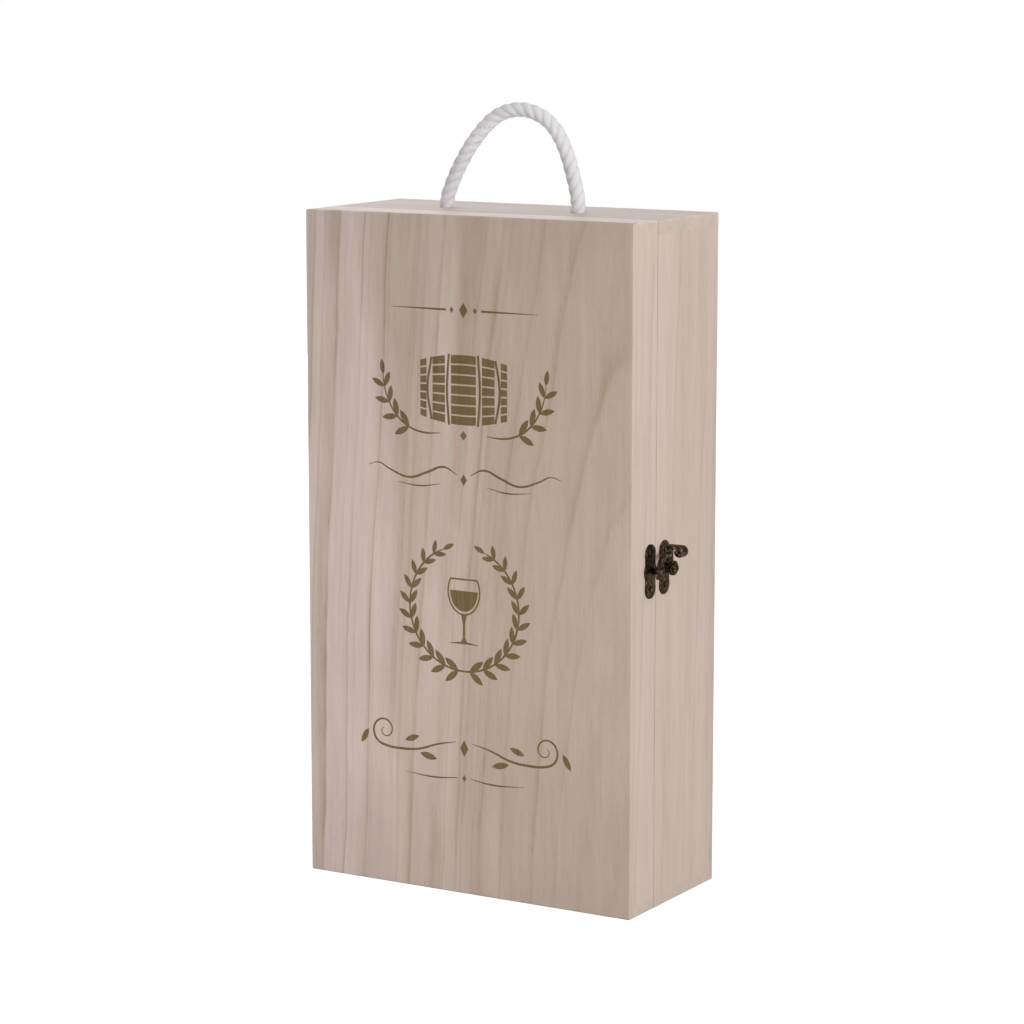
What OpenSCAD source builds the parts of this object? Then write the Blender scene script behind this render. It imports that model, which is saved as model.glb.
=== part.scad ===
// Upright wooden gift box for two bottles of wine.
// The base holds the bottles. The front part is a shallow lid that swings on two hinges at the left,
// and a hook latch closes it at the right. A twisted rope through the top is the handle.
// Millimetres. +Z is up, the front faces -Y, and the origin is the middle of the box's bottom.

/* [Box] */
// Width of the box, across the front
box_w = 195; // [150:1:240]
// Depth of the closed box, from front to back
box_d = 92; // [80:1:130]
// Height of the box without its rope handle
box_h = 355; // [320:1:420]
// Depth of the lid, from the front face to the joint with the base
lid_d = 26; // [20:1:34]
// Chamfer on the outer edges
edge_ease = 0.6; // [0.2:0.1:1.2]

/* [Boards] */
// Thickness of the front and back boards
panel_t = 5; // [3:0.5:7]
// Thickness of the side boards
side_t = 6; // [5:0.5:10]
// Thickness of the top and bottom end boards
end_t = 7; // [5:0.5:10]
// Thickness of the divider between the two bottles
divider_t = 5; // [3:0.5:8]
// Distance of the divider and neck rests behind the joint
inner_setback = 1; // [0.5:0.5:3]
// Diameter of the brads in the corners
brad_d = 1.2; // [0.8:0.1:1.6]
// Length of the brads in the corners
brad_l = 22; // [15:1:30]
// Depth of a brad's end below the wood's face
brad_sink = 0.4; // [0.2:0.1:1]
// Distance of the base's brads from its front and back edges
brad_inset = 12; // [8:1:20]

/* [Neck rests] */
// Diameter of the bottles that the box is made for
bottle_d = 76; // [70:1:78]
// Thickness of each neck rest
rest_t = 8; // [5:0.5:12]
// Height of the neck rests' lower face above the bottom
rest_z = 250; // [220:1:270]
// Width of the notch for a bottle's neck
notch_w = 32; // [28:1:38]

/* [Hinges] */
// Height of each hinge
hinge_h = 26; // [20:1:36]
// Distance of each hinge's middle from the nearer end of the box
hinge_inset = 60; // [40:1:90]
// Reach of each leaf from the joint
leaf_reach = 12; // [9:0.5:16]
// Thickness of the leaves
leaf_t = 0.8; // [0.6:0.1:1]
// Radius of the knuckles
knuckle_r = 1.5; // [1.4:0.1:2]
// Radius of the hinge pins
pin_r = 0.8; // [0.5:0.05:0.9]
// Distance of a leaf's nails from its upper and lower edges
leaf_nail_inset = 5; // [3:0.5:7]

/* [Nails] */
// Radius of the small nails in hinges and latch
nail_r = 0.6; // [0.4:0.05:0.7]
// Radius of their heads
nail_head_r = 1.3; // [1:0.1:1.6]
// Height of their heads
nail_head_h = 0.5; // [0.3:0.1:0.6]
// Depth to which they go into the wood
nail_l = 4.5; // [3:0.5:4.5]

/* [Latch] */
// Height of the latch's middle above the bottom
latch_z = 178; // [150:1:210]
// Thickness of the two stamped plates
plate_t = 0.9; // [0.6:0.1:1.2]
// Radius of a plate's middle
plate_r = 5.9; // [5.4:0.1:6.6]
// Radius of a plate's upper and lower lobes
lobe_r = 5.1; // [4.6:0.1:5.4]
// Distance of the lobes above and below a plate's middle
lobe_z = 8.9; // [8:0.1:10.5]
// Width of a plate between its middle and its lobes
waist_w = 9.6; // [8:0.1:10]
// Distance of the keeper plate's edge from the joint
keeper_edge = 1.1; // [0.5:0.1:2]
// Distance of the pivot plate's edge from the joint
pivot_edge = 2.2; // [1:0.1:3]
// Distance of the keeper stud in front of the joint
stud_y = 5; // [4:0.5:7]
// Radius of the keeper stud's post
stud_r = 1.5; // [1:0.1:1.8]
// Radius of the keeper stud's head
stud_head_r = 2.5; // [2:0.1:3]
// Height of the collar that holds the hook off its plate
collar_h = 3.8; // [2.5:0.1:4.5]
// Radius of that collar
collar_r = 2.6; // [2:0.1:3]
// Radius of the rivet that the hook turns on
rivet_r = 1.2; // [0.8:0.1:1.6]
// Radius of the rivet's domed head
rivet_head_r = 2.6; // [2:0.1:3.2]
// Height of the rivet's and the stud's domed heads
dome_h = 1.9; // [1.2:0.1:2.5]

/* [Hook] */
// Thickness of the hook's flat arm
arm_t = 1.7; // [1.2:0.1:2.2]
// Width of the hook's arm
arm_w = 2.2; // [1.6:0.1:2.6]
// Radius of the boss around the rivet
boss_r = 3.8; // [3.2:0.1:4.4]
// Length of the nose below the stud's middle
nose_l = 2.6; // [1.5:0.1:3.5]
// Width of the finger lever
lever_w = 4.5; // [3:0.1:6]
// Thickness of the finger lever
lever_t = 2.2; // [1.6:0.1:2.4]
// Distance of the lever's middle in front of the rivet
lever_y = 3.8; // [2.5:0.1:5]
// Height of the lever's top above the rivet
lever_z = 12.6; // [12:0.1:15]
// Outer radius of the curl at the lever's end
curl_r = 2.95; // [2.6:0.05:3.4]
// Distance of the curl's middle from the side of the box
curl_x = 12; // [11:0.1:15]
// Slit between the lever and the rolled end of its curl
curl_gap = 0.5; // [0.3:0.1:1]

/* [Rope handle] */
// Diameter of the rope
rope_d = 7.8; // [6:0.1:8.5]
// Distance of the rope's holes behind the front face
rope_y = 50; // [42:1:56]
// Radius of the stopper knots inside the box
knot_r = 9.5; // [8:0.5:11]

/* [Clearances] */
// Radial clearance of a nail or pin in its own piece
press_gap = 0.02; // [0.01:0.01:0.05]
// Radial clearance of a pin or rivet in the piece that turns on it
run_gap = 0.05; // [0.03:0.01:0.08]
// Gap between the closed lid and the base
joint_gap = 0.4; // [0.2:0.1:0.8]
// Clearance between a knuckle and the wood, and between the hook and the stud
free_gap = 0.3; // [0.2:0.05:0.4]
// Gap beside a turning piece, along its axis
side_gap = 0.1; // [0.05:0.05:0.2]
// Radial clearance of the rope in its holes
rope_gap = 0.3; // [0.2:0.1:0.6]

/* [Hidden] */

$fn = 64;

// How far a cut runs past the face that it opens
past = 1;

// Faces of the box and of its parts
left_x = -box_w / 2;
right_x = box_w / 2;
front_y = -box_d / 2;
back_y = box_d / 2;
joint_y = front_y + lid_d;
lid_back_y = joint_y - joint_gap;
frame_front_y = front_y + panel_t;
frame_back_y = back_y - panel_t;
inner_w = box_w - 2 * side_t;
inner_top_z = box_h - end_t;

// Hinges: the pins stand just outside the left side, in the plane of the joint
pin_x = left_x - knuckle_r - free_gap;
hinge_zs = [hinge_inset, box_h - hinge_inset];
knuckle_h = hinge_h / 3;
notch_reach = knuckle_r + free_gap;
leaf_nail_y = (notch_reach + leaf_reach) / 2;
leaf_nail_z = hinge_h / 2 - leaf_nail_inset;

// Latch: heights above the right side
arm_low = plate_t + collar_h + side_gap;
head_low = arm_low + arm_t + side_gap;
keeper_plate_y = joint_y - keeper_edge - plate_r;
rivet_y = joint_y + pivot_edge + plate_r;
post_y = joint_y - stud_y;

// Hook outline: y forward from the rivet is negative, as in the box's own frame
stud_from_rivet = rivet_y - post_y;
seat_r = stud_r + free_gap;
seat_end_y = seat_r - stud_from_rivet;
nose_y = -stud_from_rivet - seat_r - arm_w / 2;
arch_root_y = -arm_w / 2;
arch_y = (nose_y + arch_root_y) / 2;
arch_r = (arch_root_y - nose_y + arm_w) / 2;

// Rope: the loop's ball ends sit just above the holes, and it swings about them
rope_r = rope_d / 2;
rope_plane_y = front_y + rope_y;
ball_z = rope_r + free_gap;
// Route of the loop between its ball ends, left to right: x, and height above the ball ends
loop_points = [[-41.2, 0], [-40, 4], [-38.3, 8.2], [-36.1, 13], [-33.5, 17.8], [-30.4, 22.8],
               [-27, 28], [-23, 33], [-18.6, 37.8], [-13.7, 42.2], [-7.9, 45.6], [-1.5, 47.4],
               [5, 47.8], [11.3, 46.6], [16.9, 44.2], [21.6, 40.8], [25.4, 36.6], [28.3, 31.9],
               [30.6, 27], [32.5, 22], [34.1, 17], [35.5, 12.2], [36.6, 8], [37.4, 4], [37.8, 0]];
hole_xs = [loop_points[0][0], loop_points[len(loop_points) - 1][0]];
rope_sides = 12;
// Part of a knot's radius that is pressed flat against the top
knot_flat = 0.2;
// Slopes at which rings round off the loop's ball ends
ball_angles = [70, 45, 20];

// ---- Helpers ----

// Rectangle across X and Y with its four corners cut at 45 degrees
module chamfered_rect(w, d, c) {
    polygon([[c, 0], [w - c, 0], [w, c], [w, d - c], [w - c, d], [c, d], [0, d - c], [0, c]]);
}

// The closed box's outer block, all its outer edges chamfered
module outer_block() {
    intersection() {
        translate([left_x, front_y, 0])
            linear_extrude(box_h) chamfered_rect(box_w, box_d, edge_ease);
        translate([left_x, back_y, 0]) rotate([90, 0, 0])
            linear_extrude(box_d) chamfered_rect(box_w, box_h, edge_ease);
        translate([left_x, front_y, 0]) rotate([90, 0, 90])
            linear_extrude(box_w) chamfered_rect(box_d, box_h, edge_ease);
    }
}

// A board between two corners, its outer edges eased with the box's
module board(low, high) {
    intersection() {
        outer_block();
        translate(low) cube(high - low);
    }
}

// Corner brads: one at each place, driven straight into the side boards from above and below
module brads(y_places, r) {
    for (x = [left_x + side_t / 2, right_x - side_t / 2])
        for (y = y_places) {
            translate([x, y, box_h - brad_sink - brad_l]) cylinder(r = r, h = brad_l);
            translate([x, y, brad_sink]) cylinder(r = r, h = brad_l);
        }
}

// The open ends above the brads, so that each lies at the bottom of its own hole
module brad_holes(y_places) {
    r = brad_d / 2 + press_gap;
    for (x = [left_x + side_t / 2, right_x - side_t / 2])
        for (y = y_places) {
            translate([x, y, box_h - brad_sink - brad_l])
                cylinder(r = r, h = brad_l + brad_sink + past);
            translate([x, y, -past]) cylinder(r = r, h = brad_l + brad_sink + past);
        }
}

lid_brad_ys = [(frame_front_y + lid_back_y) / 2];
base_brad_ys = [joint_y + brad_inset, frame_back_y - brad_inset];

// Turns a shape that stands on the XY plane so that it stands on a side of the box, pointing +X
module on_right_side(y, z) {
    translate([right_x, y, z]) rotate([90, 0, 90]) children();
}

// The same on the left side, pointing -X
module on_left_side(y, z) {
    translate([left_x, y, z]) rotate([90, 0, -90]) children();
}

// A small nail, its head's underside at height 0
module nail() {
    translate([0, 0, -nail_l]) cylinder(r = nail_r, h = nail_l + nail_head_h);
    cylinder(r = nail_head_r, h = nail_head_h);
}

// What a nail takes out of the wood and the metal around it
module nail_hole() {
    translate([0, 0, -nail_l]) cylinder(r = nail_r + press_gap, h = nail_l + nail_head_h + past);
}

// A domed head, flat below
module dome(r, h) {
    ball_r = (r * r + h * h) / (2 * h);
    rotate_extrude() intersection() {
        translate([0, h - ball_r]) circle(ball_r);
        square([r, h]);
    }
}

// ---- Lid boards ----

module front_panel() {
    color("burlywood") board([left_x, front_y, 0], [right_x, frame_front_y, box_h]);
}

module lid_side_board(outer_x, inner_x) {
    color("wheat") difference() {
        board([min(outer_x, inner_x), frame_front_y, end_t],
              [max(outer_x, inner_x), lid_back_y, inner_top_z]);
        brad_holes(lid_brad_ys);
        children();
    }
}

module lid_left_side() {
    lid_side_board(left_x, left_x + side_t) leaf_nail_places(-1) nail_hole();
}

module lid_right_side() {
    lid_side_board(right_x, right_x - side_t) keeper_nail_places() nail_hole();
}

module lid_end_board(low_z) {
    color("wheat") difference() {
        board([left_x, frame_front_y, low_z], [right_x, lid_back_y, low_z + end_t]);
        brad_holes(lid_brad_ys);
    }
}

module lid_top_end() {
    lid_end_board(inner_top_z);
}

module lid_bottom_end() {
    lid_end_board(0);
}

module lid_brads() {
    color("silver") brads(lid_brad_ys, brad_d / 2);
}

// ---- Base boards ----

module back_panel() {
    color("burlywood") board([left_x, frame_back_y, 0], [right_x, back_y, box_h]);
}

module base_side_board(outer_x, inner_x) {
    color("wheat") difference() {
        board([min(outer_x, inner_x), joint_y, end_t],
              [max(outer_x, inner_x), frame_back_y, inner_top_z]);
        brad_holes(base_brad_ys);
        children();
    }
}

module base_left_side() {
    base_side_board(left_x, left_x + side_t) leaf_nail_places(1) nail_hole();
}

module base_right_side() {
    base_side_board(right_x, right_x - side_t) pivot_nail_places() nail_hole();
}

module base_end_board(low_z) {
    color("wheat") difference() {
        board([left_x, joint_y, low_z], [right_x, frame_back_y, low_z + end_t]);
        brad_holes(base_brad_ys);
        children();
    }
}

module base_top_end() {
    base_end_board(inner_top_z) {
        for (x = hole_xs)
            translate([x, rope_plane_y, inner_top_z - past])
                cylinder(r = rope_r + rope_gap, h = end_t + 2 * past);
    }
}

module base_bottom_end() {
    base_end_board(0);
}

module base_brads() {
    color("silver") brads(base_brad_ys, brad_d / 2);
}

// ---- Inside the base ----

module divider() {
    color("wheat") board([-divider_t / 2, joint_y + inner_setback, end_t],
                         [divider_t / 2, frame_back_y, inner_top_z]);
}

// A cross board between the divider and a side, notched from the front for the bottle's neck
module neck_rest(low_x, high_x) {
    neck_x = (low_x + high_x) / 2;
    neck_y = frame_back_y - bottle_d / 2;
    rest_front_y = joint_y + inner_setback;
    color("wheat") difference() {
        translate([low_x, rest_front_y, rest_z])
            cube([high_x - low_x, frame_back_y - rest_front_y, rest_t]);
        translate([neck_x, neck_y, rest_z - past]) cylinder(d = notch_w, h = rest_t + 2 * past);
        translate([neck_x - notch_w / 2, rest_front_y - past, rest_z - past])
            cube([notch_w, neck_y - rest_front_y + past, rest_t + 2 * past]);
    }
}

module left_neck_rest() {
    neck_rest(-inner_w / 2, -divider_t / 2);
}

module right_neck_rest() {
    neck_rest(divider_t / 2, inner_w / 2);
}

// ---- Hinges ----

// Puts its child at each nail of both leaves on one side of the joint: 1 for the base, -1 for the lid
module leaf_nail_places(side) {
    for (z = hinge_zs)
        for (dz = [-leaf_nail_z, leaf_nail_z])
            on_left_side(joint_y + side * leaf_nail_y, z + dz)
                translate([0, 0, leaf_t - nail_head_h]) children();
}

// Heights of the knuckles on one leaf: the base has the outer two, the lid the middle one
function knuckle_lows(side) = side > 0 ? [-hinge_h / 2, hinge_h / 2 - knuckle_h + side_gap]
                                       : [-knuckle_h / 2 + side_gap / 2];

module hinge_leaf(z, side, bore_gap) {
    reach = leaf_reach - notch_reach;
    plate_low_y = side > 0 ? joint_y + notch_reach : joint_y - leaf_reach;
    web_low_y = side > 0 ? joint_y : joint_y - notch_reach;
    color("dimgray") difference() {
        union() {
            translate([left_x - leaf_t, plate_low_y, z - hinge_h / 2]) cube([leaf_t, reach, hinge_h]);
            for (low = knuckle_lows(side)) {
                translate([pin_x, joint_y, z + low]) cylinder(r = knuckle_r, h = knuckle_h - side_gap);
                translate([left_x - leaf_t, web_low_y, z + low])
                    cube([leaf_t, notch_reach, knuckle_h - side_gap]);
            }
        }
        translate([pin_x, joint_y, z - hinge_h / 2 - past])
            cylinder(r = pin_r + bore_gap, h = hinge_h + 2 * past);
        leaf_nail_places(side) {
            nail_hole();
            cylinder(r = nail_head_r + press_gap, h = nail_head_h + past);
        }
    }
}

module upper_hinge_lid_leaf() {
    hinge_leaf(hinge_zs[1], -1, run_gap);
}

module lower_hinge_lid_leaf() {
    hinge_leaf(hinge_zs[0], -1, run_gap);
}

module upper_hinge_base_leaf() {
    hinge_leaf(hinge_zs[1], 1, press_gap);
}

module lower_hinge_base_leaf() {
    hinge_leaf(hinge_zs[0], 1, press_gap);
}

module hinge_pins() {
    color("dimgray") for (z = hinge_zs)
        translate([pin_x, joint_y, z - hinge_h / 2]) cylinder(r = pin_r, h = hinge_h);
}

module lid_hinge_nails() {
    color("dimgray") leaf_nail_places(-1) nail();
}

module base_hinge_nails() {
    color("dimgray") leaf_nail_places(1) nail();
}

// ---- Latch ----

// A stamped plate with a wide middle and a round lobe above and below it
module latch_plate_outline() {
    circle(plate_r);
    square([waist_w, 2 * lobe_z], center = true);
    for (dz = [-lobe_z, lobe_z])
        translate([0, dz]) circle(lobe_r);
}

module plate_nail_places(y) {
    for (dz = [-lobe_z, lobe_z])
        on_right_side(y, latch_z + dz) translate([0, 0, plate_t]) children();
}

module keeper_nail_places() {
    plate_nail_places(keeper_plate_y) children();
}

module pivot_nail_places() {
    plate_nail_places(rivet_y) children();
}

module keeper_plate() {
    color("darkslategray") difference() {
        on_right_side(keeper_plate_y, latch_z) linear_extrude(plate_t) latch_plate_outline();
        keeper_nail_places() nail_hole();
        on_right_side(post_y, latch_z) translate([0, 0, -past])
            cylinder(r = stud_r + press_gap, h = plate_t + 2 * past);
    }
}

module keeper_stud() {
    color("dimgray") on_right_side(post_y, latch_z) {
        cylinder(r = stud_r, h = head_low);
        translate([0, 0, head_low]) dome(stud_head_r, dome_h / 2);
    }
}

module keeper_nails() {
    color("dimgray") keeper_nail_places() nail();
}

module pivot_plate() {
    color("darkslategray") difference() {
        on_right_side(rivet_y, latch_z) linear_extrude(plate_t) latch_plate_outline();
        pivot_nail_places() nail_hole();
        on_right_side(rivet_y, latch_z) translate([0, 0, -past])
            cylinder(r = rivet_r + press_gap, h = plate_t + 2 * past);
    }
}

// A shouldered rivet: its collar holds the hook off the plate, its head keeps the hook on
module pivot_rivet() {
    color("dimgray") on_right_side(rivet_y, latch_z) {
        cylinder(r = rivet_r, h = head_low);
        translate([0, 0, plate_t]) cylinder(r = collar_r, h = collar_h);
        translate([0, 0, head_low]) dome(rivet_head_r, dome_h);
    }
}

module pivot_nails() {
    color("dimgray") pivot_nail_places() nail();
}

// The hook's flat arm, seen from the right side: a boss, an arch over the stud and a nose before it
module hook_arm_outline() {
    circle(boss_r);
    difference() {
        translate([arch_y, 0]) circle(arch_r);
        translate([arch_y, 0]) circle(arch_r - arm_w);
        translate([arch_y - arch_r, -arch_r]) square([2 * arch_r, arch_r]);
    }
    // the solid corner that rests on the stud
    intersection() {
        translate([arch_y, 0]) circle(arch_r);
        translate([arch_y - arch_r, seat_r]) square([seat_end_y - arch_y + arch_r, arch_r]);
    }
    translate([nose_y - arm_w / 2, -nose_l]) square([arm_w, nose_l + seat_r]);
    translate([nose_y, -nose_l]) circle(arm_w / 2);
    // the neck up to the finger lever
    translate([-lever_y - lever_w / 2, arch_r - 2 * arm_w])
        square([lever_w, lever_z - arch_r + 2 * arm_w]);
}

// The finger lever in profile: x out from the box's side, y up from the rivet
module lever_outline() {
    curl_z = lever_z - curl_r;
    translate([arm_low, lever_z - lever_t]) square([curl_x - arm_low, lever_t]);
    difference() {
        translate([curl_x, curl_z]) circle(curl_r);
        translate([curl_x, curl_z]) circle(curl_r - lever_t);
        // the slit between the lever and the end of the roll
        translate([curl_x - curl_r, lever_z - lever_t - curl_gap]) square([curl_r, curl_gap]);
    }
}

module latch_hook() {
    color("darkslategray") difference() {
        union() {
            on_right_side(rivet_y, latch_z) translate([0, 0, arm_low])
                linear_extrude(arm_t) hook_arm_outline();
            translate([right_x, rivet_y - lever_y + lever_w / 2, latch_z]) rotate([90, 0, 0])
                linear_extrude(lever_w) lever_outline();
        }
        on_right_side(rivet_y, latch_z) translate([0, 0, arm_low - past])
            cylinder(r = rivet_r + run_gap, h = arm_t + 2 * past);
    }
}

// ---- Rope handle ----

// Unit direction of the route at point i
function along(p, i) =
    let (a = p[max(i - 1, 0)], b = p[min(i + 1, len(p) - 1)], d = b - a) d / norm(d);

// Ring of points around point i of a route in the XZ plane, moved on along the route by a shift
function ring(p, i, shift, r) =
    let (t = along(p, i), c = p[i] + t * shift)
    [for (k = [0:rope_sides - 1])
        let (a = 360 * k / rope_sides)
        [c[0] - t[1] * r * cos(a), r * sin(a), c[1] + t[0] * r * cos(a)]];

// A tube swept along the route, with a ball at each end
module tube(p, r) {
    last = len(p) - 1;
    s = rope_sides;
    rings = concat(
        [for (a = ball_angles) ring(p, 0, -r * sin(a), r * cos(a))],
        [for (i = [0:last]) ring(p, i, 0, r)],
        [for (k = [len(ball_angles) - 1:-1:0])
            let (a = ball_angles[k]) ring(p, last, r * sin(a), r * cos(a))]);
    n = len(rings);
    polyhedron(
        points = [for (one = rings) each one],
        faces = concat(
            [[for (k = [0:s - 1]) k]],
            [[for (k = [s - 1:-1:0]) (n - 1) * s + k]],
            [for (i = [0:n - 2], k = [0:s - 1])
                [i * s + k, (i + 1) * s + k, (i + 1) * s + (k + 1) % s, i * s + (k + 1) % s]]));
}

module rope_loop() {
    color("white") translate([0, rope_plane_y, box_h + ball_z]) tube(loop_points, rope_r);
}

// The rope's two ends in their holes, each with a stopper knot under the top
module rope_knots() {
    color("white") for (x = hole_xs) translate([x, rope_plane_y, 0]) {
        translate([0, 0, inner_top_z - knot_r]) cylinder(r = rope_r, h = end_t + knot_r);
        intersection() {
            translate([0, 0, inner_top_z - knot_r * (1 - knot_flat)]) sphere(knot_r);
            translate([-knot_r, -knot_r, inner_top_z - 2 * knot_r]) cube(2 * knot_r);
        }
    }
}

front_panel();
lid_left_side();
lid_right_side();
lid_top_end();
lid_bottom_end();
lid_brads();
back_panel();
base_left_side();
base_right_side();
base_top_end();
base_bottom_end();
base_brads();
divider();
left_neck_rest();
right_neck_rest();
upper_hinge_lid_leaf();
lower_hinge_lid_leaf();
upper_hinge_base_leaf();
lower_hinge_base_leaf();
hinge_pins();
lid_hinge_nails();
base_hinge_nails();
keeper_plate();
keeper_stud();
keeper_nails();
pivot_plate();
pivot_rivet();
pivot_nails();
latch_hook();
rope_loop();
rope_knots();
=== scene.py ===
"""Dresses the wooden wine box: pale boards, printed front, bronze fittings and a white rope handle."""

import math

import bmesh
import bpy
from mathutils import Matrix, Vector


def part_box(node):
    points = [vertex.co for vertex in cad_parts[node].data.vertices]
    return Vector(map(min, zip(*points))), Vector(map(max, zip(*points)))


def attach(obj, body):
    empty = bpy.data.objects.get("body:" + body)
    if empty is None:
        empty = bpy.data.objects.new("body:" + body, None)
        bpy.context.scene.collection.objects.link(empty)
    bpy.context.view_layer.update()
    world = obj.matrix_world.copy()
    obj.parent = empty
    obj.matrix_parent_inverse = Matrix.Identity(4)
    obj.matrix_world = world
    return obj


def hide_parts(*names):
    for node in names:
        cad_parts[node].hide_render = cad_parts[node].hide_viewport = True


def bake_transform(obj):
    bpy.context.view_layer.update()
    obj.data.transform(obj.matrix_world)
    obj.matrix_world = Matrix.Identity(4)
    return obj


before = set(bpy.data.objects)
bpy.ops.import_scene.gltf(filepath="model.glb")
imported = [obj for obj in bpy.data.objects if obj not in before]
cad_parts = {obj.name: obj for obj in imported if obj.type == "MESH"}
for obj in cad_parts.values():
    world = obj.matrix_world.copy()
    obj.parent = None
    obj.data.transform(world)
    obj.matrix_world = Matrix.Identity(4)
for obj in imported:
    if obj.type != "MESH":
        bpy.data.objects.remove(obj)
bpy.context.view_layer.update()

MM = 0.001


# ---- Camera ----


def turn_towards(direction):
    """The turn of a camera or lamp that looks along a direction."""
    return direction.to_track_quat("-Z", "Y").to_euler()


def place_camera():
    """A long lens from the right and a little above, as in the photograph."""
    azimuth, elevation, distance = math.radians(30.69), math.radians(9.391), 1.7666
    looks_at = Vector((0.0006, 0.0, 0.1965))
    out = Vector(
        (
            math.sin(azimuth) * math.cos(elevation),
            -math.cos(azimuth) * math.cos(elevation),
            math.sin(elevation),
        )
    )
    lens = bpy.data.cameras.new("camera")
    lens.sensor_width = 36
    lens.lens = 117.98
    camera = bpy.data.objects.new("camera", lens)
    bpy.context.scene.collection.objects.link(camera)
    camera.location = looks_at + out * distance
    camera.rotation_euler = turn_towards(-out)
    bpy.context.scene.camera = camera


place_camera()


# ---- Materials ----


def linear(code):
    """A hex sRGB colour as linear red, green, blue and alpha."""
    parts = [int(code[i : i + 2], 16) / 255 for i in (1, 3, 5)]
    return [c / 12.92 if c <= 0.04045 else ((c + 0.055) / 1.055) ** 2.4 for c in parts] + [1.0]


def add(tree, kind, inputs=None, stops=None, **settings):
    """Adds a node. Each input is a value or another node's output, and stops fill a colour ramp.
    A MapRange takes its span from inputs 1 and 2 to inputs 3 and 4, which start as 0 to 1.
    A colour Mix goes from input 6 to input 7 by input 0, and its colour is output 2."""
    made = tree.nodes.new("ShaderNode" + kind)
    for name, value in settings.items():
        setattr(made, name, value)
    for socket, value in (inputs or {}).items():
        if isinstance(value, bpy.types.NodeSocket):
            tree.links.new(value, made.inputs[socket])
        else:
            made.inputs[socket].default_value = value
    if stops:
        elements = made.color_ramp.elements
        while len(elements) < len(stops):
            elements.new(0.5)
        for element, (place, shade) in zip(elements, stops):
            element.position = place
            element.color = linear(shade) if isinstance(shade, str) else (shade, shade, shade, 1)
    return made


def new_material(name):
    """An empty material and its node tree."""
    material = bpy.data.materials.new(name)
    material.use_nodes = True
    material.node_tree.nodes.clear()
    return material, material.node_tree


# The pored early wood is a narrow dark line, and fades into the plain late wood
RING_STOPS = [
    (0.0, 0.75), (0.04, 1.0), (0.12, 0.45), (0.26, 0.14), (0.5, 0.0), (0.95, 0.06), (1.0, 0.75),
]
# The lines run from a reddish to an olive brown
LINE_BROWNS = ("#aa8370", "#958063")


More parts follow.
